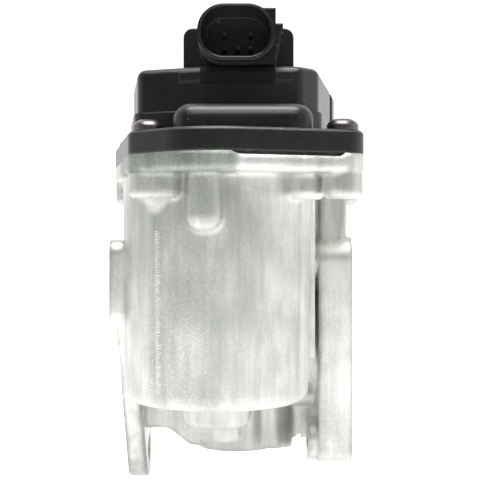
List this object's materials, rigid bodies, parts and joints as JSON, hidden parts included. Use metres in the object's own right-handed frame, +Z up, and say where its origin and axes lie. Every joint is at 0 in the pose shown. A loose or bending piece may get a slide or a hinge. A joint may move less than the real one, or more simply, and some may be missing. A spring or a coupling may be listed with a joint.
{
  "type": "exhaust gas recirculation valve",
  "caption": "Electric exhaust gas recirculation valve: a flap in a flanged cast duct, turned by a geared motor in a pot beside it, under a plastic cover with a connector.",
  "frame": {"origin": "centre of the inlet port, on the inlet flange's face", "axes": "+X along the gas duct from inlet to outlet, +Y to the back, +Z up to the plastic cover"},
  "size_m": [0.0746, 0.1075, 0.1379],
  "materials": {
    "casting": "die-cast, shot-blasted, machined faces",
    "cover_plastic": "moulded, fine satin",
    "seal_rubber": "moulded",
    "sleeve_steel": "turned",
    "screw_steel": "zinc plated",
    "can_steel": "deep drawn, zinc plated",
    "plate_steel": "stamped",
    "spring_steel": "spring steel",
    "magnet_ferrite": "sintered ferrite",
    "card_plastic": "moulded",
    "carbon": "pressed carbon",
    "contact_brass": "stamped",
    "bearing_bronze": "sintered bronze",
    "shaft_steel": "ground",
    "core_steel": "stacked laminations",
    "copper": "enamelled wire",
    "gear_steel": "hobbed",
    "gear_plastic": "moulded",
    "valve_steel": "turned stainless",
    "board_green": "solder mask",
    "chip_black": "moulded",
    "pin_copper": "tinned copper alloy, reddish"
  },
  "bodies": {
    "valve_body": {"housing": "casting", "cover": "cover_plastic", "cover_seal": "seal_rubber", "cover_sleeves": "sleeve_steel", "cover_screws": "screw_steel", "motor_can": "can_steel", "motor_plate": "plate_steel", "motor_screws": "screw_steel", "motor_spring": "spring_steel", "motor_magnets": "magnet_ferrite", "brush_card": "card_plastic", "brushes": "carbon", "motor_blades": "contact_brass", "motor_bearings": "bearing_bronze", "idler_pin": "shaft_steel", "idler_spacer": "sleeve_steel", "shaft_bearings": "bearing_bronze", "shaft_seal": "seal_rubber", "lower_plug": "sleeve_steel", "return_spring": "spring_steel", "stop_screw": "screw_steel", "circuit_board": "board_green", "sensor_chip": "chip_black", "connector_pins": "pin_copper"},
    "rotor": {"rotor_core": "core_steel", "motor_shaft": "shaft_steel", "rotor_windings": "copper", "commutator": "copper", "pinion": "gear_steel"},
    "idler": {"idler_gear": "gear_plastic", "idler_pinion": "gear_steel"},
    "flap_group": {"flap": "valve_steel", "flap_shaft": "valve_steel", "flap_screws": "valve_steel", "sector_gear": "gear_plastic", "sensor_magnet": "magnet_ferrite"}
  },
  "joints": [
    {"name": "motor_spin", "type": "hinge", "parent": "valve_body", "child": "rotor", "pos_m": [0.0292, -0.04596, 0.03], "axis": [0, 0, 1], "range_deg": [0, 886.6]},
    {"name": "idler_spin", "type": "hinge", "parent": "valve_body", "child": "idler", "pos_m": [0.0355, -0.02698, 0.064], "axis": [0, 0, 1], "range_deg": [-280, 0]},
    {"name": "flap_turn", "type": "hinge", "parent": "valve_body", "child": "flap_group", "pos_m": [0.0345, 0, 0], "axis": [0, 0, 1], "range_deg": [0, 80]}
  ],
  "couplings": [
    {"joint": "idler_spin", "follows": "motor_spin", "ratio": -0.31579},
    {"joint": "flap_turn", "follows": "motor_spin", "ratio": 0.090226}
  ]
}
